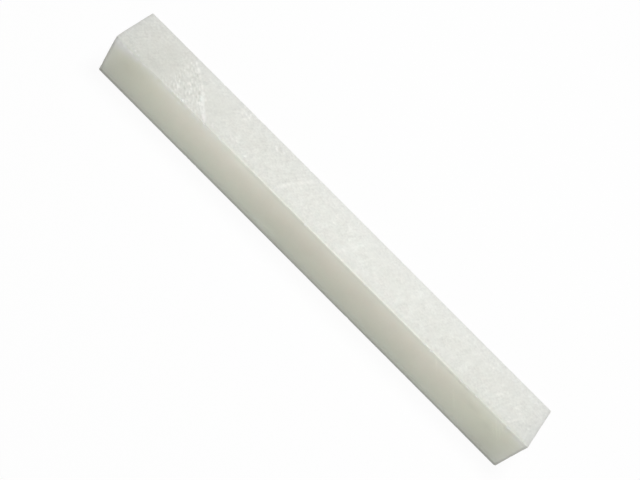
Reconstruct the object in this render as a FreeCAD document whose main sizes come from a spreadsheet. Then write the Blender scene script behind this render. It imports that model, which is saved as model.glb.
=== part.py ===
import FreeCAD, Part
import os
import Sketcher

# A stick of soapstone chalk: one square bar of massive talc, sawn out of a slab, with nothing
# added to it. It lies on a long face. Millimetres, +Z up, +X along the stick, and the origin at
# the middle of the face that it lies on.

doc = FreeCAD.newDocument("soapstone_chalk")

# ---- Driving dimensions ----------------------------------------------------------------------

SIZES = [
    ("stick_length", 100.0, "between the two sawn ends"),
    ("stick_width", 10.0, "across the stick"),
    ("stick_height", 10.0, "from the face it lies on to the face on top"),
    ("arris_round", 0.2, "radius that handling has rubbed on every edge of the bar"),
]

sizes = doc.addObject("Spreadsheet::Sheet", "sizes")
for row, (alias, value, meaning) in enumerate(SIZES, start=1):
    sizes.set(f"A{row}", str(value))
    sizes.setAlias(f"A{row}", alias)
    sizes.set(f"B{row}", meaning)
doc.recompute()

# ---- How the sketches are drawn --------------------------------------------------------------

# Sketcher's numbers for the two ends of a line, and for the sketch's own origin.
START, END = 1, 2
ORIGIN = (-1, 1)


def origin_plane(body, role):
    """The body's own origin plane of that role, such as YZ_Plane."""
    return next(feature for feature in body.Origin.OriginFeatures if feature.Role == role)


def closed_outline(sketch, points):
    """Draws straight lines from point to point and back to the first, joined end to end."""
    ends = points[1:] + points[:1]
    for start, end in zip(points, ends):
        sketch.addGeometry(Part.LineSegment(start, end), False)
    for line in range(len(points)):
        following = (line + 1) % len(points)
        sketch.addConstraint(Sketcher.Constraint("Coincident", line, END, following, START))


def driven_by(sketch, name, constraint, expression):
    """Adds a dimension to the sketch, names it and binds it to the sheet."""
    index = sketch.addConstraint(constraint)
    sketch.renameConstraint(index, name)
    sketch.setExpression(f"Constraints.{name}", expression)


# ---- The stick -------------------------------------------------------------------------------

stick = doc.addObject("PartDesign::Body", "soapstone_stick")
stick.Label = "soapstone_stick"
stick.Placement = FreeCAD.Placement()

# The section is the square that the saw cuts leave, standing on the sketch's own horizontal axis
# and centred on its vertical one.
section = stick.newObject("Sketcher::SketchObject", "section")
section.AttachmentSupport = [(origin_plane(stick, "YZ_Plane"), "")]
section.MapMode = "FlatFace"
half_width = sizes.stick_width / 2
closed_outline(
    section,
    [
        FreeCAD.Vector(-half_width, 0, 0),
        FreeCAD.Vector(half_width, 0, 0),
        FreeCAD.Vector(half_width, sizes.stick_height, 0),
        FreeCAD.Vector(-half_width, sizes.stick_height, 0),
    ],
)
BOTTOM, RIGHT, TOP, LEFT = range(4)
for side in (BOTTOM, TOP):
    section.addConstraint(Sketcher.Constraint("Horizontal", side))
for side in (RIGHT, LEFT):
    section.addConstraint(Sketcher.Constraint("Vertical", side))
section.addConstraint(Sketcher.Constraint("Symmetric", BOTTOM, START, BOTTOM, END, *ORIGIN))
driven_by(
    section,
    "width",
    Sketcher.Constraint("DistanceX", BOTTOM, START, BOTTOM, END, sizes.stick_width),
    "sizes.stick_width",
)
driven_by(
    section,
    "height",
    Sketcher.Constraint("DistanceY", RIGHT, START, RIGHT, END, sizes.stick_height),
    "sizes.stick_height",
)

sawn_bar = stick.newObject("PartDesign::Pad", "sawn_bar")
sawn_bar.Profile = section
sawn_bar.SideType = "Symmetric"
sawn_bar.setExpression("Length", "sizes.stick_length")
doc.recompute()

# Handling has rubbed all twelve edges alike, so each is rounded, and each corner with them.
rubbed_edges = stick.newObject("PartDesign::Fillet", "rubbed_edges")
rubbed_edges.Base = (sawn_bar, [""])
rubbed_edges.UseAllEdges = True
rubbed_edges.setExpression("Radius", "sizes.arris_round")
stick.Tip = rubbed_edges
doc.recompute()

# ---- Checks and export -----------------------------------------------------------------------

for item in doc.Objects:
    if "Invalid" in item.State or "Error" in item.State:
        raise RuntimeError(f"{item.Label} did not compute: {item.State}")
if not section.FullyConstrained:
    raise RuntimeError(f"{section.Label} can still move")
if not sawn_bar.Shape.Volume > rubbed_edges.Shape.Volume:
    raise RuntimeError("rubbed_edges takes nothing off the stick")

NODES = [stick]
os.makedirs("parts", exist_ok=True)
for node in NODES:
    if node.Shape.isNull() or not node.Shape.isValid() or len(node.Shape.Solids) != 1:
        raise RuntimeError(f"{node.Label} is not one sound solid")
for node in NODES:
    node.Shape.exportStep(f"parts/{node.Label}.step")
    print(node.Label, "volume", round(node.Shape.Volume, 3), "mm3, box", node.Shape.BoundBox)
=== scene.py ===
import math

import bpy
import numpy as np
from mathutils import Matrix, Vector


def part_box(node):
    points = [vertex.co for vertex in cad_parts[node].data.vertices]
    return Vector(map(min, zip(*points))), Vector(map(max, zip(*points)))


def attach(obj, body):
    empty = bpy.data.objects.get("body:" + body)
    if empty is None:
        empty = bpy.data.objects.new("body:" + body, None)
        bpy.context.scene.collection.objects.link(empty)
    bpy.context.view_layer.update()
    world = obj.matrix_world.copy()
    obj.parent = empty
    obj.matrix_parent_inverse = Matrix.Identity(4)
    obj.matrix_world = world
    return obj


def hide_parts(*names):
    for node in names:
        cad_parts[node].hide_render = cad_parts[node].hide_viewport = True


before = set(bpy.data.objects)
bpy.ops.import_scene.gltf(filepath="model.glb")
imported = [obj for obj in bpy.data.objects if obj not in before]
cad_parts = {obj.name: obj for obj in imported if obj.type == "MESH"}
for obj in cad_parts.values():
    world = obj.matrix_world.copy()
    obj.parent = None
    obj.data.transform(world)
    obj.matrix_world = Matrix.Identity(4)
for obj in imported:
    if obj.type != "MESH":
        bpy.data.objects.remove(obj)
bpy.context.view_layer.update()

# ---- The stick -------------------------------------------------------------------------------
# One bar of massive talc, gang-sawn from a slab and cut off square at both ends, which lies loose
# on a long face. The stone is so soft that every edge is rubbed round and nicked, and a hard grain
# has torn a patch of its top.

# Its shape is worked out in millimetres from the middle of the bar.
MM = 0.001
X, Y, Z = range(3)
low, high = (np.array(corner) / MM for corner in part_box("soapstone_stick"))
MIDDLE = (low + high) / 2
HALF = (high - low) / 2
SEED = 41
random = np.random.default_rng(SEED)


def places(start, *stretches):
    """Places along one axis. Each stretch is given by its end and the longest step it may have,
    and is divided into equal steps."""
    stops = [np.array([start])]
    for end, step in stretches:
        begin = stops[-1][-1]
        steps = math.ceil((end - begin) / step)
        stops.append(np.linspace(begin, end, steps + 1)[1:])
    return np.concatenate(stops)


def block_skin(axes):
    """The skin of a block as points and four-sided faces that point outwards. Each of its six
    sides is the grid of two of the three lists of places, with the third held at its first or
    last value. A point's number is its position in the full three-way lattice, so the points
    that sides share along the edges come out once."""
    counts = [len(stops) for stops in axes]
    quads = []
    for held in (X, Y, Z):
        first, second = (held + 1) % 3, (held + 2) % 3
        u, v = np.meshgrid(
            np.arange(counts[first] - 1), np.arange(counts[second] - 1), indexing="ij"
        )
        around = [(0, 0), (1, 0), (1, 1), (0, 1)]
        for end, order in ((counts[held] - 1, around), (0, around[::-1])):
            corners = []
            for step_u, step_v in order:
                lattice = [None] * 3
                lattice[held] = np.full_like(u, end)
                lattice[first] = u + step_u
                lattice[second] = v + step_v
                corners.append(np.ravel_multi_index(lattice, counts).ravel())
            quads.append(np.stack(corners, axis=1))
    used, faces = np.unique(np.concatenate(quads), return_inverse=True)
    picked = np.unravel_index(used, counts)
    points = np.stack([stops[i] for stops, i in zip(axes, picked)], axis=1)
    return points, faces.reshape(-1, 4)


# The skin's points stand closest along the edges, where they have a rounding to follow, and closer
# than elsewhere in the torn patch.
EDGE_ZONE = 0.45
EDGE_STEP = 0.07
TORN_FROM, TORN_TO = -42.0, -27.0
TORN_STEP = 0.16
LONG_STEP = 0.25
CROSS_STEPS = {Y: 0.17, Z: 0.45}
axes = [
    places(
        -HALF[X],
        (EDGE_ZONE - HALF[X], EDGE_STEP),
        (TORN_FROM, LONG_STEP),
        (TORN_TO, TORN_STEP),
        (HALF[X] - EDGE_ZONE, LONG_STEP),
        (HALF[X], EDGE_STEP),
    )
]
for axis, step in CROSS_STEPS.items():
    axes.append(
        places(
            -HALF[axis],
            (EDGE_ZONE - HALF[axis], EDGE_STEP),
            (HALF[axis] - EDGE_ZONE, step),
            (HALF[axis], EDGE_STEP),
        )
    )
points, faces = block_skin(axes)


def ramp(values, start, end):
    """0 up to start, 1 from end on, and a smooth S-curve between them."""
    t = np.clip((values - start) / (end - start), 0, 1)
    return t * t * (3 - 2 * t)


def rounded(points, radius):
    """Rounds the block's edges: each point is drawn onto the block that is smaller all round by
    its radius, and then stands off from it by the radius in the direction that it came from.
    That direction is the way out of the stone there, and comes back too."""
    core_half = HALF - radius[:, None]
    core = np.clip(points, -core_half, core_half)
    out = points - core
    out /= np.linalg.norm(out, axis=1, keepdims=True)
    return core + radius[:, None] * out, out


# The front top edge is the crispest of all, but fingers have rubbed it much rounder towards the
# -X end. Each zone here and below is given by where it begins and where it is fully reached.
ARRIS_ROUND = 0.2
CRISP_ROUND = 0.08
SOFT_ROUND = 0.38
TO_THE_FRONT = (-3.0, -4.5)
TO_THE_TOP = (3.0, 4.5)
TO_RUBBED_END = (-41.0, -45.0)
by_ridge = ramp(points[:, Y], *TO_THE_FRONT) * ramp(points[:, Z], *TO_THE_TOP)
ridge_round = CRISP_ROUND + (SOFT_ROUND - CRISP_ROUND) * ramp(points[:, X], *TO_RUBBED_END)
radius = ARRIS_ROUND + (ridge_round - ARRIS_ROUND) * by_ridge
points, out = rounded(points, radius)
x, y, z = points.T

# How far a point belongs to a side, from 0 to 1, by how squarely the way out of the stone there
# faces that side's way. The top, the underside and the ends are as the saw left them; the front
# and the back are the smooth faces of the slab.
FACING = (0.6, 0.95)
on_top = ramp(out[:, Z], *FACING)
on_underside = ramp(-out[:, Z], *FACING)
on_end = ramp(np.abs(out[:, X]), *FACING)
on_front = ramp(-out[:, Y], *FACING)
sawn = on_top + on_underside + on_end

# The saw swung on a long arm, so its marks are arcs of one circle, each a little further along.
SAW_RADIUS = 35.0
SAW_CENTRE = 16.0


def sweep(along, across):
    """How far along the stick the saw's arc through a place crosses the middle line: the arc is
    part of a circle whose centre lies SAW_CENTRE to one side of that line."""
    reach = np.sqrt(SAW_RADIUS**2 - (across + SAW_CENTRE) ** 2)
    return along + reach - math.sqrt(SAW_RADIUS**2 - SAW_CENTRE**2)


def bell(distance, width):
    """1 at no distance, and falling away to both sides as a bell curve of that width."""
    return np.exp(-((distance / width) ** 2))


# The underside was sawn the other way round. The ends have marks of their own, which are kept apart
# from the long sides' by numbering them from well past the stick's end.
UNDERSIDE_BELOW = -4.0
END_FACING = 0.7
ENDS_START = 3 * HALF[X]
swept = np.where(z < UNDERSIDE_BELOW, sweep(x, -y), sweep(x, y))
swept = np.where(np.abs(out[:, X]) > END_FACING, sweep(z, y) + ENDS_START, swept)

# Three of the marks stand out. The rest are faint, and go on to those of the ends.
CLEAR_MARKS = np.array([-10.4, 5.0, 17.7])
CLEAR_WIDTHS = np.array([0.42, 0.5, 0.4])
CLEAR_STRENGTHS = np.array([1.8, 0.9, 0.8])
CLEAR_DEPTH = 0.01
FAINT_COUNT = 190
FAINT_SPREAD = (-1.2 * HALF[X], 3.3 * HALF[X])
FAINT_DEPTH = (0.002, 0.008)
FAINT_WIDTH = (0.18, 0.4)
marks = np.append(CLEAR_MARKS, random.uniform(*FAINT_SPREAD, FAINT_COUNT))
mark_depth = np.append(CLEAR_DEPTH * CLEAR_STRENGTHS, random.uniform(*FAINT_DEPTH, FAINT_COUNT))
mark_width = np.append(CLEAR_WIDTHS, random.uniform(*FAINT_WIDTH, FAINT_COUNT))
grooves = (mark_depth * bell(swept[:, None] - marks, mark_width)).sum(axis=1)


def ripples(points, wavelength, waves):
    """Unevenness with no seams: the sum of sine waves that run in random directions, with
    lengths about the given one, scaled so that its root mean square is 1."""
    directions = random.normal(size=(waves, points.shape[1]))
    directions /= np.linalg.norm(directions, axis=1, keepdims=True)
    lengths = wavelength * random.uniform(0.7, 1.4, (waves, 1))
    phases = random.uniform(0, 2 * math.pi, waves)
    angles = 2 * math.pi * points @ (directions / lengths).T + phases
    return math.sqrt(2 / waves) * np.sin(angles).sum(axis=1)


def uneven(points, size, waves, swing, least=0.0, most=2.0):
    """About 1, and going up and down by about that swing in patches of that size, but never
    below the one limit or above the other."""
    return np.clip(1 + swing * ripples(points, size, waves), least, most)


# A hard grain dragged under the saw bruised the top along a line askew to the stick. From that
# line back to about the finger-worn end the stone is torn into crumbs that point the same way, and
# the larger a crumb is, the more it stands out.
SKEW = math.sqrt(0.5)
STREAK = -33.4
CRUMB_SIZE = 0.5
CRUMB_SLIMNESS = 0.35
TO_TORN_SIDE = (0.2, -0.4)
FROM_WORN_END = (-40.2, -38.6)
WORN_LEAN, TORN_RAGGED = 0.12, 0.4
across_skew = (x + y - STREAK) * SKEW
along_skew = (x - y) * SKEW
drawn_out = np.stack([across_skew, along_skew * CRUMB_SLIMNESS], axis=1)
crumbs = ripples(drawn_out, CRUMB_SIZE, waves=60)
crumbs *= (1 + np.abs(crumbs)) / 2
ragged = TORN_RAGGED * ripples(points, 2.5, waves=16)
torn = ramp(across_skew, *TO_TORN_SIDE) * ramp(x + WORN_LEAN * y + ragged, *FROM_WORN_END)
torn *= uneven(points, 1.8, waves=24, swing=0.35, least=0.2)

# The bruises on the top, all drawn out in the streak's direction: how far along the stick and how
# far across it, how long and how wide, and how strongly the stone is crushed white there. Below
# zero it is a small hollow that is not white but dark.
STREAK_LEAN = -45
BRUISES = [
    (-47.2, 3.6, 0.6, 0.35, 0.14),
    (-46.7, 0.5, 0.9, 0.28, 0.28),
    (-46.0, -0.8, 0.8, 0.25, 0.18),
    (-45.9, -4.3, 0.25, 0.2, 0.9),
    (-45.5, -4.1, 0.3, 0.2, -0.5),
    (-45.3, 2.2, 0.9, 0.28, 0.22),
    (-45.0, -4.5, 0.25, 0.2, 0.9),
    (-44.5, 0.1, 0.8, 0.25, 0.16),
    (-43.8, -0.7, 0.35, 0.28, 0.24),
    (-42.8, 0.2, 0.4, 0.28, 0.26),
    (-42.0, -0.5, 0.3, 0.28, 0.22),
    (-38.2, 3.3, 0.3, 0.22, -0.6),
    (-38.2, -2.1, 0.35, 0.25, 0.6),
    (-38.0, 3.9, 0.45, 0.18, 0.6),
    (-36.75, 3.0, 0.5, 0.26, 1.0),
    (-36.55, -3.1, 0.35, 0.32, 1.0),
    (-36.0, 1.06, 0.3, 0.28, -0.8),
    (-35.7, -0.76, 0.35, 0.22, 0.7),
    (-35.6, 2.2, 0.7, 0.18, 0.5),
    (-34.8, -1.46, 0.3, 0.2, 0.7),
    (-34.1, -4.6, 0.25, 0.25, 1.5),
    (-34.0, 0.75, 0.75, 0.22, 0.5),
    (-33.1, -0.96, 0.3, 0.22, -0.7),
    (-33.1, -1.9, 0.3, 0.22, -0.7),
    (-32.85, -0.25, 0.4, 0.32, 1.0),
    (-31.9, -2.4, 0.25, 0.22, 2.0),
    (-31.8, -1.55, 0.9, 0.23, 1.8),
    (-31.65, -0.9, 0.25, 0.15, 0.8),
    (-30.6, -2.8, 0.5, 0.32, 0.9),
    (-29.5, -4.0, 1.1, 0.32, 1.5),
    (-27.4, -3.9, 0.6, 0.22, 0.5),
    (-25.9, 3.0, 0.3, 0.2, 0.5),
    (-25.85, 2.35, 0.25, 0.18, 0.4),
    (-25.4, 4.2, 0.3, 0.2, -0.5),
    (-25.3, 3.6, 0.4, 0.18, 0.6),
    (-25.0, -4.6, 0.45, 0.2, 0.6),
    (-24.85, 2.4, 0.22, 0.18, 0.6),
    (-24.7, 4.2, 0.35, 0.2, 0.8),
    (-24.5, 3.45, 0.35, 0.2, 0.8),
    (-23.7, 4.2, 0.3, 0.18, 0.3),
    (-23.6, -3.0, 1.3, 0.16, 0.2),
    (-22.7, -2.5, 0.25, 0.2, 0.45),
    (-19.7, -3.6, 0.25, 0.25, 1.0),
    (-18.3, 2.15, 0.25, 0.2, 0.3),
    (-17.2, 2.9, 0.45, 0.22, 1.0),
    (-16.55, 3.4, 0.45, 0.25, -0.9),
    (-15.85, 3.5, 0.45, 0.2, 0.6),
    (-14.5, 2.7, 0.4, 0.3, -0.8),
    (-10.8, 1.05, 0.4, 0.3, -0.6),
    (-9.7, 3.5, 0.5, 0.4, -0.5),
    (-9.2, 0.3, 0.5, 0.35, 0.25),
    (-4.1, -0.3, 0.4, 0.22, -0.5),
    (-2.0, 0.3, 0.35, 0.25, -0.5),
    (-1.2, 1.65, 0.4, 0.28, 0.4),
    (-0.8, 0.0, 0.3, 0.25, 0.35),
    (8.3, 2.8, 0.35, 0.3, -0.5),
    (15.0, 3.6, 0.35, 0.25, -0.4),
    (18.2, -1.6, 0.35, 0.3, -0.5),
    (26.2, 0.8, 0.4, 0.35, -0.5),
    (33.8, -4.75, 0.3, 0.2, 0.7),
    (35.4, -4.8, 0.3, 0.2, 0.7),
]

# Scores and dents near the other end, in the same way but each with the direction that it is
# drawn out in, in degrees from the long way of the stick, before its strength.
SCORES = [
    (35.7, -0.1, 0.4, 0.2, 50, 0.2),
    (36.7, 0.3, 0.4, 0.2, 5, 0.2),
    (37.15, 2.4, 0.22, 0.15, 90, 0.45),
    (37.4, 1.5, 0.25, 0.15, 90, 0.35),
    (39.6, -2.7, 0.65, 0.18, 47, 0.25),
    (40.2, 1.1, 0.4, 0.2, 60, 0.3),
    (40.5, -1.2, 0.4, 0.25, 60, 0.3),
    (41.1, -0.4, 0.35, 0.25, 0, 0.3),
    (41.5, 3.8, 0.4, 0.35, 45, 0.25),
    (42.7, -2.9, 0.9, 0.35, 52, 0.2),
    (43.5, 4.0, 0.4, 0.35, 45, 0.25),
    (44.0, -3.75, 0.2, 0.18, 50, -0.5),
    (44.3, -3.1, 0.22, 0.18, 50, 0.5),
    (44.55, -0.4, 0.5, 0.2, 53, 0.4),
    (44.65, -3.85, 0.5, 0.15, 52, 0.65),
    (45.25, -3.6, 0.3, 0.18, 50, -0.5),
    (45.3, 3.75, 0.35, 0.2, 30, 0.35),
    (45.45, -2.7, 0.6, 0.18, 56, 0.5),
    (45.6, -0.75, 0.6, 0.18, 56, 0.4),
    (46.3, -1.5, 0.75, 0.18, 50, 0.35),
    (46.9, -2.5, 0.5, 0.25, 50, -0.4),
    (47.0, 3.8, 0.65, 0.2, 47, 0.4),
    (47.2, -0.8, 0.5, 0.3, 50, -0.3),
    (48.3, -1.85, 0.22, 0.18, 0, 0.6),
    (48.3, -1.15, 0.25, 0.2, 0, -0.7),
    (48.5, -4.1, 0.35, 0.2, 40, 0.4),
    (48.8, -4.7, 0.15, 0.15, 0, -0.6),
    (49.2, -4.1, 0.2, 0.15, 60, 0.5),
]


def ovals(marks, along, across):
    """The sum of soft oval marks on a face. Each is given by how far along and across it its
    middle lies, how long and how wide it is, how many degrees it leans, and how strong it is."""
    total = 0
    for middle_along, middle_across, length, width, lean, strength in marks:
        right, up = along - middle_along, across - middle_across
        cosine, sine = math.cos(math.radians(lean)), math.sin(math.radians(lean))
        lengthways = right * cosine + up * sine
        widthways = up * cosine - right * sine
        total = total + strength * bell(lengthways, length) * bell(widthways, width)
    return total


bruise = ovals([(*place, STREAK_LEAN, strength) for *place, strength in BRUISES], x, y)
bruise = on_top * (bruise + ovals(SCORES, x, y))

# How deep the saw's fine roughness, the torn patch and the bruises are, and how much the first two
# vary. The floor of a strong bruise is flat.
FINE_DEPTH, FINE_SWING = 0.004, 0.5
TORN_DEPTH, TORN_SWING = 0.025, 0.7
BRUISE_DEPTH, BRUISE_FLOOR = 0.03, 0.8
depth = sawn * (grooves + FINE_DEPTH * (1 + FINE_SWING * ripples(points, 1.1, waves=40)))
depth += on_top * torn * TORN_DEPTH * np.clip(1 + TORN_SWING * crumbs, 0, None)
depth += BRUISE_DEPTH * np.clip(np.abs(bruise), 0, BRUISE_FLOOR)
points = points - out * np.clip(depth, 0, None)[:, None]

# Nicks along the twelve edges. Each is a scoop: where it lies along the edge, half its length,
# and how far it reaches down the two faces together. Most are slight. Along the front top edge
# these are the worst, and they take the place of half of the random ones.
RIDGE_NICKS = [
    (-34.1, 0.5, 0.35),
    (-28.5, 0.7, 0.3),
    (-24.6, 0.5, 0.3),
    (26.6, 0.45, 0.42),
    (33.8, 0.7, 0.3),
    (35.4, 0.6, 0.3),
    (37.7, 0.5, 0.26),
    (45.3, 0.7, 0.4),
]
FRONT_TOP_EDGE = (Y, (-1, 1))
NICK_SPACING = 3.9
NICK_HALF_LENGTH = (0.15, 0.6)
NICK_REACH = (0.1, 0.26)
NICK_ROUGHNESS = 0.25
NICK_CURVE, LEAST_SCOOP = 0.35, 0.05
EDGE_REACH = 1.0
CRUSHED_AT = 0.12
bruised = np.zeros(len(points))
roughness = ripples(points, 0.6, waves=40)
for first, second in ((Y, Z), (Z, X), (X, Y)):
    along = 3 - first - second
    for toward in ((-1, -1), (-1, 1), (1, -1), (1, 1)):
        count = math.ceil(2 * HALF[along] / NICK_SPACING)
        where = random.uniform(-HALF[along], HALF[along], count)
        half_length = random.uniform(*NICK_HALF_LENGTH, count)
        reach = random.uniform(*NICK_REACH, count)
        if (first, toward) == FRONT_TOP_EDGE:
            few = count // 2
            chosen = np.array(RIDGE_NICKS).T
            where = np.append(where[:few], chosen[0])
            half_length = np.append(half_length[:few], chosen[1])
            reach = np.append(reach[:few], chosen[2])
        inset_first = HALF[first] - toward[0] * points[:, first]
        inset_second = HALF[second] - toward[1] * points[:, second]
        near = np.flatnonzero(inset_first + inset_second < EDGE_REACH)
        inset = (inset_first + inset_second)[near]
        slant = (inset_first - inset_second)[near]
        offset = (points[near, along][:, None] - where) / half_length
        scoop = (reach * np.clip(1 - offset**2, 0, None)).max(axis=1)
        scoop *= 1 + NICK_ROUGHNESS * roughness[near]
        off_middle = slant / np.maximum(scoop, LEAST_SCOOP)
        scoop *= np.clip(1 - NICK_CURVE * off_middle**2, 0, 1)
        short = np.clip(scoop - inset, 0, None)
        points[near, first] -= toward[0] * short / 2
        points[near, second] -= toward[1] * short / 2
        bruised[near] = np.maximum(bruised[near], ramp(short, 0.0, CRUSHED_AT))

# The eight corners are blunt: what stands beyond a plane across the corner is pressed back to it,
# with no sharp line where that begins.
CORNER_REACH = (0.06, 0.18)
CORNER_ZONE = 0.8
CORNER_ROUGHNESS = 0.03
SOFT_BREAK = 0.06
CORNER_CRUSHED = 0.8
TO_CRUSHED = (-0.02, 0.08)
diagonal = math.sqrt(3)
for signs in np.ndindex(2, 2, 2):
    corner = 2 * np.array(signs) - 1
    reach = random.uniform(*CORNER_REACH)
    outwards = corner / diagonal
    beyond = (points - HALF * corner) @ outwards + reach / diagonal
    near = np.flatnonzero(beyond > -CORNER_ZONE)
    over = beyond[near] + CORNER_ROUGHNESS * roughness[near]
    cut = (over + np.sqrt(over**2 + SOFT_BREAK**2)) / 2 - SOFT_BREAK**2 / 4
    points[near] -= outwards * np.clip(cut, 0, None)[:, None]
    bruised[near] = np.maximum(bruised[near], CORNER_CRUSHED * ramp(over, *TO_CRUSHED))

mesh = bpy.data.meshes.new("soapstone_chalk_stick")
mesh.from_pydata((points + MIDDLE) * MM, [], faces)
mesh.polygons.foreach_set("use_smooth", np.ones(len(faces), bool))


def layered(layers):
    """The sum of layers. Each is given by the side that it lies on, from 0 to 1 at each point, its
    strength, and where on that side it is."""
    return sum(side * strength * where for side, strength, where in layers)


# How much white stone dust covers the surface, from 0 on the smooth faces to 1 where it is
# crushed. The saw leaves the cut sides dusty, and fingers wipe the worn end and smear the dust
# over its rounded edge on to the front, where it ends in a slanting line.
EVERYWHERE = 1.0
SAWN_DUST = 0.62
WIPED_DUST = 0.57
NICK_DUST = 0.75
CRUMB_LIMITS = (-2.0, 2.5)
WIPED_RAGGED, TO_WIPED = 0.5, (-36.4, -40.2)
SMEAR_FOOT, SMEAR_SLOPE, SMEAR_RAGGED = 2.2, 0.3, 0.35
INTO_SMEAR, TO_SMEARED_END = (-0.9, 1.3), (-40.5, -44.0)
RIDGE_LINE = 0.2
ragged_edge = WIPED_RAGGED * ripples(points, 3.0, waves=16)
wiped = ramp(x + WORN_LEAN * y + ragged_edge, *TO_WIPED)
crumb_tops = torn * np.clip(crumbs, *CRUMB_LIMITS)
from_ridge_line = y + HALF[Y] - RIDGE_LINE
beads = uneven(points, 1.3, waves=40, swing=0.5, most=2.5)
clear_marks = bell(swept[:, None] - CLEAR_MARKS, CLEAR_WIDTHS) @ CLEAR_STRENGTHS
smear_foot = SMEAR_FOOT + SMEAR_SLOPE * (x + HALF[X]) + SMEAR_RAGGED * ragged
smeared = ramp(z - smear_foot, *INTO_SMEAR) * ramp(x, *TO_SMEARED_END)
fringe = uneven(points, 1.2, waves=30, swing=0.7)
fringe *= ramp(z, 3.0, 4.8) * (ramp(x, -20.0, -28.0) + ramp(x, 40.0, 47.0))
dust = layered(
    [
        (sawn, SAWN_DUST, EVERYWHERE),
        (sawn, WIPED_DUST - SAWN_DUST, on_top * wiped),
        # Less of it is left along the edges of the top, and least along the front one.
        (on_top, -0.18, bell(HALF[Y] - np.abs(y), 1.3)),
        (on_top, -0.2, bell(from_ridge_line, 0.5) * ramp(x, -34.0, -26.0)),
        # Crumbs and bruises are whiter, and beads of dust lie in the clearest saw marks.
        (on_top, 0.06, crumb_tops),
        (EVERYWHERE, 0.6, np.clip(bruise, 0, None)),
        (on_top, 0.08, beads * clear_marks),
        # It is smeared down the front at the worn end, and thinly along its top near both ends.
        (on_front, 0.5, smeared),
        (on_front, 0.22, fringe),
    ]
)
dust = np.maximum(dust, NICK_DUST * bruised)

# Wide soft patches on the top: how far along the stick and how far across it, how long and how
# wide, how many degrees the long way leans, and how much lighter the stone is there.
TOP_PATCHES = [
    (-44.5, -1.0, 2.0, 3.0, 0, 0.009),
    (-42.6, -2.8, 1.2, 0.8, 0, -0.045),
    (-36.2, 0.8, 2.0, 4.5, 0, -0.013),
    (-25.8, -3.0, 2.2, 2.2, 0, 0.014),
    (12.0, 2.2, 4.0, 1.5, 0, -0.008),
    (22.0, -3.4, 3.0, 1.5, 0, -0.012),
    (39.2, 3.2, 2.0, 1.6, 0, -0.013),
]

# Stains and hair scratches on the front, and thin lines of painted shade just under the nicks in the
# front top edge, in the same way, but with how far up instead of across.
FRONT_MARKS = [
    (-48.3, 2.8, 1.2, 1.6, 0, 0.05),
    (-46.0, 1.3, 1.8, 1.4, 0, -0.035),
    (-42.5, 2.6, 1.2, 0.9, 0, -0.025),
    (-38.8, 3.5, 1.5, 0.5, 0, 0.03),
    (-35.3, 4.65, 3.2, 0.16, 0, -0.08),
    (-18.0, 4.0, 3.5, 0.8, 0, 0.06),
    (-9.0, -3.6, 4.0, 1.2, 0, 0.1),
    (28.9, 3.6, 1.4, 0.15, -50, 0.08),
    (31.6, 4.6, 0.6, 0.18, 0, -0.12),
    (32.0, -3.8, 4.0, 1.0, 0, 0.06),
    (33.9, 4.5, 0.7, 0.2, 0, -0.18),
    (35.5, 4.4, 0.6, 0.2, 0, -0.18),
    (35.6, 0.4, 2.0, 0.15, -50, 0.06),
    (37.5, 2.9, 3.2, 1.2, 0, -0.06),
    (38.3, 3.5, 1.3, 0.6, 0, 0.03),
    (38.8, 2.2, 1.5, 0.5, 0, -0.05),
    (41.5, 2.3, 0.9, 0.45, 0, 0.035),
    (42.8, 1.3, 1.0, 0.6, 0, -0.05),
    (44.1, 1.9, 1.5, 0.15, -49, 0.06),
    (44.6, 2.3, 2.3, 0.15, -49, 0.09),
    (44.6, 4.0, 1.0, 0.15, -43, 0.09),
    (45.1, 2.6, 1.6, 0.15, -49, 0.08),
    (45.4, 4.35, 0.8, 0.25, 0, -0.14),
]


def swell(peak, length):
    """A slow wave along the stick, 1 at its peak and -1 half its length away."""
    return np.cos(2 * math.pi * (x - peak) / length)
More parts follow.
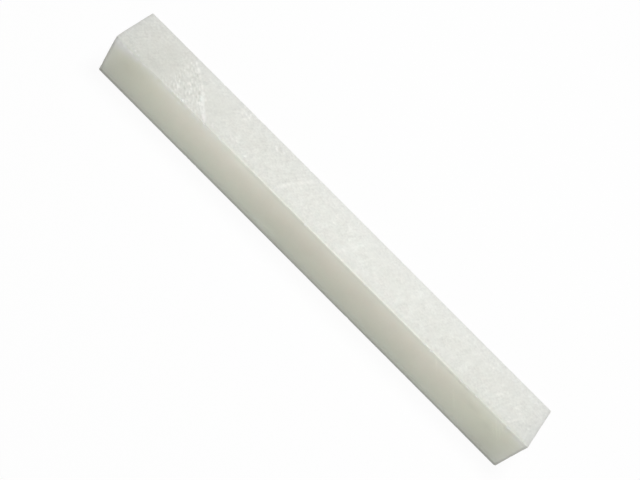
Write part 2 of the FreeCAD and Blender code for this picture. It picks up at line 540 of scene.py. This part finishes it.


# How much lighter or darker the colour is: partly the stone itself, and partly painted light and
# shade. The painted highlight along the front top edge is faint up to the streak and full beyond
# it, thin lines of painted shade lie just inside the low edges, and darker lines just inside the
# ends.
RIDGE_HIGHLIGHT, RIDGE_HIGHLIGHT_SWING = 0.16, 0.035
BEYOND_STREAK = (-26.0, -18.0)
LOW_EDGE_SHADE, LOW_EDGE_SHADE_INSET = 0.47, 0.34
END_LINE, FRONT_END_LINE, END_LINE_INSET = 0.06, 0.26, 0.2
# A painted highlight along the front top edge, which varies a little along its length.
ridge_highlight = RIDGE_HIGHLIGHT + RIDGE_HIGHLIGHT_SWING * ripples(points, 1.4, waves=24)
ridge_highlight *= 0.4 * ramp(x, -42.0, -38.0) + 0.6 * ramp(x, *BEYOND_STREAK)
ridge_highlight *= ramp(x, 34.0, 28.0)
# Painted contact shade in a thin line just inside the low edges.
low_edge_shade = LOW_EDGE_SHADE * bell(z + HALF[Z] - LOW_EDGE_SHADE_INSET, 0.24)
# Thin darker lines just inside the ends, darkest on the front.
end_dark_line = END_LINE + FRONT_END_LINE * on_front
end_dark_line *= bell(HALF[X] - END_LINE_INSET - np.abs(x), 0.25)
lightness = layered(
    [
        # Skin grease has darkened the worn end, most of all along the front of its top.
        (EVERYWHERE, -0.055, ramp(x, -32.0, -47.0)),
        (on_top, -0.03, ramp(x, -39.0, -42.0) * ramp(y, -1.5, -3.5)),
        (on_top, -0.03, wiped),
        (on_front, -0.03, ramp(x, -40.0, -46.0)),
        # The top carries a painted pool of light, lightest a little past the middle and lighter
        # towards +X.
        # The front varies slowly along its length and is darker towards the +X end, and painted
        # light makes it lighter towards the top.
        (on_top, 0.028, swell(9.0, 90.0)),
        (on_top, 0.022, ramp(x, -14.0, -4.0)),
        (on_front, 0.037, swell(-27.0, 76.0)),
        (on_front, -0.08, ramp(x, 38.0, 46.0)),
        (on_front, 0.035, ramp(z, 0.0, 4.5)),
        # Crumbs are lighter on top and darker between them, and hollows are darker.
        (on_top, 0.032, crumb_tops),
        (EVERYWHERE, 0.14, np.clip(bruise, None, 0)),
        # Along the front top edge the top carries a painted highlight, and under it on the front
        # there is a darker line. The top is a little lighter at its ends and darker along its back.
        (on_top, ridge_highlight, bell(from_ridge_line, 0.17)),
        (on_front, -0.05, bell(z - 4.6, 0.22) * ramp(x, *BEYOND_STREAK)),
        (on_top, 0.025, ramp(np.abs(x), 47.5, 49.5)),
        (on_top, -0.02, bell(y - 4.6, 0.3)),
        # The underside is painted darker, as shade, which through the stone also darkens the lower
        # front.
        # Thin lines of painted contact shade lie just inside the low edges, and darker lines beside
        # the ends.
        (on_underside, -0.22, EVERYWHERE),
        (EVERYWHERE, -1.0, np.maximum(low_edge_shade, end_dark_line)),
        (on_top, 1.0, ovals(TOP_PATCHES, x, y)),
        (on_front, 1.0, ovals(FRONT_MARKS, x, z)),
    ]
)

# The stone is warmest a little above halfway up the front, and greener towards the top, the
# underside and both ends.
END_WARMTH = 0.15
warmth = ramp(z, -4.0, 2.0) - 0.6 * ramp(z, 2.8, 5.0) - 0.4 * ramp(z, -2.5, -4.5)
from_ends = ramp(x, -47.0, -32.0) * ramp(x, 42.0, 28.0)
warmth *= END_WARMTH + (1 - END_WARMTH) * from_ends

# The saw cut some stretches more smoothly than others: places along the stick, each with how strong
# the texture is there.
TEXTURE = np.array(
    [
        (-50.0, 0.9),
        (-46.0, 0.75),
        (-41.0, 0.5),
        (-38.0, 0.65),
        (-34.0, 0.75),
        (-29.0, 0.6),
        (-25.0, 0.95),
        (-20.0, 1.1),
        (-14.0, 1.2),
        (-4.0, 1.15),
        (6.0, 0.8),
        (44.0, 0.8),
        (50.0, 1.1),
    ]
)
patchy = uneven(points, 3.5, waves=30, swing=0.2, least=0.3, most=1.8)
saw_texture = sawn * np.interp(x, *TEXTURE.T) * patchy

for name, values in (
    ("dust", np.clip(dust, 0, 1)),
    ("saw_texture", saw_texture),
    ("lightness", lightness),
    ("warmth", warmth),
):
    mesh.attributes.new(name, "FLOAT", "POINT").data.foreach_set("value", values)
sweeps = np.stack([swept, y, z], axis=1)
mesh.attributes.new("saw_sweep", "FLOAT_VECTOR", "POINT").data.foreach_set("vector", sweeps.ravel())

stick = bpy.data.objects.new("soapstone_chalk_stick", mesh)
bpy.context.scene.collection.objects.link(stick)
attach(stick, "root")
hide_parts("soapstone_stick")

# The stone is pale and a little greenish, and lets light deep in. The smooth faces show the stone
# itself, satin and cream; sawing and knocks crush it to a matt, whiter dust.


def linear(hex_colour):
    """An sRGB hex colour such as E5E6E0, turned by the sRGB curve to the linear red, green and
    blue of a node, and followed by a full alpha."""
    levels = np.array([int(hex_colour[i : i + 2], 16) for i in (0, 2, 4)]) / 255
    straight = np.where(levels <= 0.04045, levels / 12.92, ((levels + 0.055) / 1.055) ** 2.4)
    return (*straight, 1.0)


def add_node(tree, kind, inputs, output=0, **settings):
    """Adds a node of that kind with those settings. Each input, by its name or number, gets a
    plain value or a link from another node's output. Gives back the node's chosen output."""
    node = tree.nodes.new(kind)
    for name, value in settings.items():
        setattr(node, name, value)
    for name, value in inputs.items():
        if isinstance(value, bpy.types.NodeSocket):
            tree.links.new(value, node.inputs[name])
        else:
            node.inputs[name].default_value = value
    return node.outputs[output] if node.outputs else None


def material(name):
    """A new material with an empty node tree."""
    made = bpy.data.materials.new(name)
    made.use_nodes = True
    made.node_tree.nodes.clear()
    return made


stone = material("sawn_soapstone")
tree = stone.node_tree
spot = add_node(tree, "ShaderNodeTexCoord", {}, "Object")
dust_cover, sawn_side, lighter, warmer = (
    add_node(tree, "ShaderNodeAttribute", {}, "Fac", attribute_name=name)
    for name in ("dust", "saw_texture", "lightness", "warmth")
)
saw_sweep = add_node(tree, "ShaderNodeAttribute", {}, "Vector", attribute_name="saw_sweep")

# Each pattern's scale is one over its size: in metres for the stone's own, and in millimetres
# for the lines that the saw's teeth drew along its sweep. Talc's own grain and the teeth's lines
# are finer than the eye sees, so they are drawn as coarse as they need to show.
CLOUD, BLOTCH, GRAIN = 9 * MM, 1.4 * MM, 0.45 * MM
NOISE_DETAIL = {"Detail": 2.0, "Roughness": 0.6}
cloud, blotch, grain = (
    add_node(tree, "ShaderNodeTexNoise", {"Vector": spot, "Scale": 1 / size, **NOISE_DETAIL})
    for size in (CLOUD, BLOTCH, GRAIN)
)
TEETH_APART, TEETH_RUN = 0.5, 4.0
along_teeth = add_node(
    tree,
    "ShaderNodeVectorMath",
    {0: saw_sweep, 1: (1 / TEETH_APART, 1 / TEETH_RUN, 1 / TEETH_RUN)},
    operation="MULTIPLY",
)
teeth = add_node(tree, "ShaderNodeTexNoise", {"Vector": along_teeth, "Scale": 1.0, **NOISE_DETAIL})

# The mottling is full on the sawn sides and slight on the smooth ones, and clouding is everywhere.
NOISE_MIDDLE = 0.5
MOTTLING = ((blotch, 0.27), (grain, 0.33), (teeth, 0.15))
BARE_SHARE = 0.12
CLOUDING = 0.10
mottle = -NOISE_MIDDLE * sum(strength for _, strength in MOTTLING)
for pattern, strength in MOTTLING:
    mottle = add_node(
        tree, "ShaderNodeMath", {0: pattern, 1: strength, 2: mottle}, operation="MULTIPLY_ADD"
    )
mottle_share = add_node(
    tree, "ShaderNodeMapRange", {"Value": sawn_side, "To Min": BARE_SHARE, "To Max": 1.0}
)
mottled = add_node(tree, "ShaderNodeMath", {0: mottle, 1: mottle_share}, operation="MULTIPLY")
shade = add_node(
    tree,
    "ShaderNodeMath",
    {0: cloud, 1: CLOUDING, 2: 1.0 - NOISE_MIDDLE * CLOUDING},
    operation="MULTIPLY_ADD",
)
for change in (mottled, lighter):
    shade = add_node(tree, "ShaderNodeMath", {0: shade, 1: change}, operation="ADD")

# From bare stone, greener or creamier by its warmth, through the saw's dust to stone that is
# crushed white. The Mix node has a set of sockets for each kind of value, and those for colours
# are known by their numbers.
MIX_A, MIX_B, MIX_COLOUR = 6, 7, 2
GREENER_STONE, CREAMIER_STONE = "D5DAC9", "DEDDD0"
DUSTY, CRUSHED_WHITE = "E4E5DE", "FBFBF4"
COOLEST, WARMEST = -0.4, 1.0
colour = linear(GREENER_STONE)
for factor, start, end, next_colour in (
    (warmer, COOLEST, WARMEST, CREAMIER_STONE),
    (dust_cover, 0.0, SAWN_DUST, DUSTY),
    (dust_cover, SAWN_DUST, 1.0, CRUSHED_WHITE),
):
    part = add_node(
        tree, "ShaderNodeMapRange", {"Value": factor, "From Min": start, "From Max": end}
    )
    colour = add_node(
        tree,
        "ShaderNodeMix",
        {"Factor": part, MIX_A: colour, MIX_B: linear(next_colour)},
        MIX_COLOUR,
        data_type="RGBA",
    )
colour = add_node(tree, "ShaderNodeVectorMath", {0: colour, "Scale": shade}, operation="SCALE")

# The dust is matt and scatters light at the surface; bare stone is satin and takes it inside.
# There it goes a centimetre or so, as it does in talc this clear, and so what falls on the top
# lightens the front towards its upper edge.
SATIN, MATT = 0.42, 0.8
BARE_LETS_IN, DUST_LETS_IN = 0.8, 0.55
LIGHT_REACH = (14.0 * MM, 12.0 * MM, 12.0 * MM)
TALC_IOR = 1.55
RELIEF_HEIGHT = 0.03 * MM
rough = add_node(
    tree, "ShaderNodeMapRange", {"Value": dust_cover, "To Min": SATIN, "To Max": MATT}
)
let_in = add_node(
    tree,
    "ShaderNodeMapRange",
    {"Value": dust_cover, "To Min": BARE_LETS_IN, "To Max": DUST_LETS_IN},
)
relief = add_node(tree, "ShaderNodeMath", {0: mottle, 1: sawn_side}, operation="MULTIPLY")
bumpy = add_node(
    tree, "ShaderNodeBump", {"Height": relief, "Strength": 1.0, "Distance": RELIEF_HEIGHT}
)
shader = add_node(
    tree,
    "ShaderNodeBsdfPrincipled",
    {
        "Base Color": colour,
        "Roughness": rough,
        "IOR": TALC_IOR,
        "Subsurface Weight": let_in,
        "Subsurface Scale": 1.0,
        "Subsurface Radius": LIGHT_REACH,
        "Normal": bumpy,
    },
)
add_node(tree, "ShaderNodeOutputMaterial", {"Surface": shader})
mesh.materials.append(stone)

# ---- The floor and the room ------------------------------------------------------------------
# A sheet of matt white paper in a white room. What the camera sees of them is lifted to white, but
# the paper keeps part of the stick's soft shadow. Sizes from here on are in metres.

FLOOR_HALF = 3.0
floor_mesh = bpy.data.meshes.new("floor")
floor_mesh.from_pydata(
    [
        (-FLOOR_HALF, -FLOOR_HALF, 0),
        (FLOOR_HALF, -FLOOR_HALF, 0),
        (FLOOR_HALF, FLOOR_HALF, 0),
        (-FLOOR_HALF, FLOOR_HALF, 0),
    ],
    [],
    [(0, 1, 2, 3)],
)
floor = bpy.data.objects.new("floor", floor_mesh)
bpy.context.scene.collection.objects.link(floor)


def seen_directly(tree):
    """1 for a ray from the camera, off something glossy or through something clear, else 0."""
    result = add_node(tree, "ShaderNodeLightPath", {}, "Is Camera Ray")
    rays = result.node.outputs
    for name in ("Is Glossy Ray", "Is Transmission Ray"):
        result = add_node(tree, "ShaderNodeMath", {0: result, 1: rays[name]}, operation="MAXIMUM")
    return result


# Of the paper's look to the camera, WHITE_SHARE is plain white and the rest is paper that takes
# shadow. Towards the stick it glows a little, as paper does on a light table, so that the stick's
# sides are lit from below too.
WHITE = linear("FFFFFF")
PAPER = linear("F8F8F8")
WHITE_SHARE, GLOW = 0.95, 0.19
paper = material("white_paper")
tree = paper.node_tree
share = add_node(
    tree,
    "ShaderNodeMapRange",
    {"Value": seen_directly(tree), "To Min": GLOW, "To Max": WHITE_SHARE},
)
matt = add_node(tree, "ShaderNodeBsdfDiffuse", {"Color": PAPER})
white = add_node(tree, "ShaderNodeEmission", {"Color": WHITE, "Strength": 1.0})
mixed = add_node(tree, "ShaderNodeMixShader", {"Fac": share, 1: matt, 2: white})
add_node(tree, "ShaderNodeOutputMaterial", {"Surface": mixed})
floor_mesh.materials.append(paper)

ROOM_LIGHT = 0.19
world = bpy.data.worlds.new("white_room")
bpy.context.scene.world = world
world.use_nodes = True
tree = world.node_tree
tree.nodes.clear()
lighting = add_node(tree, "ShaderNodeBackground", {"Color": WHITE, "Strength": ROOM_LIGHT})
backdrop = add_node(tree, "ShaderNodeBackground", {"Color": WHITE, "Strength": 1.0})
mixed = add_node(tree, "ShaderNodeMixShader", {"Fac": seen_directly(tree), 1: lighting, 2: backdrop})
add_node(tree, "ShaderNodeOutputWorld", {"Surface": mixed})

# ---- The lamps -------------------------------------------------------------------------------
# A softbox over the stick and a little behind it, and a wide one low in front that fills the
# shaded side.


def softbox(name, place, aim, size, power):
    """A square area lamp of that size in metres and power in watts, at place, that faces aim."""
    data = bpy.data.lights.new(name, "AREA")
    data.shape = "SQUARE"
    data.size = size
    data.energy = power
    lamp = bpy.data.objects.new(name, data)
    lamp.location = place
    lamp.rotation_mode = "QUATERNION"
    lamp.rotation_quaternion = (Vector(aim) - Vector(place)).to_track_quat("-Z", "Y")
    bpy.context.scene.collection.objects.link(lamp)


softbox("key_softbox", place=(0.01, 0.08, 0.30), aim=(0.01, 0, 0), size=0.1, power=0.655)
softbox("fill_softbox", place=(0, -0.45, 0.12), aim=(0, 0, 0.005), size=0.3, power=0.46)

# ---- The camera ------------------------------------------------------------------------------
# It looks down at the front and the top at about half a right angle, and is turned about its own
# line of sight so that the stick lies from corner to corner.

SENSOR, LENS = 36.0, 63.99
camera_data = bpy.data.cameras.new("camera")
camera_data.sensor_width = SENSOR
camera_data.lens = LENS
camera = bpy.data.objects.new("camera", camera_data)
bpy.context.scene.collection.objects.link(camera)
bpy.context.scene.camera = camera
EYE = Vector((2.16, -133.11, 157.37)) * MM
ELEVATION, AZIMUTH, ROLL = (math.radians(angle) for angle in (49.01, -1.10, 44.20))
forward = Vector(
    (
        math.sin(AZIMUTH) * math.cos(ELEVATION),
        math.cos(AZIMUTH) * math.cos(ELEVATION),
        -math.sin(ELEVATION),
    )
)
level = forward.to_track_quat("-Z", "Y").to_matrix()
camera.matrix_world = Matrix.Translation(EYE) @ (level @ Matrix.Rotation(ROLL, 3, "Z")).to_4x4()

bpy.context.scene.view_settings.view_transform = "Standard"
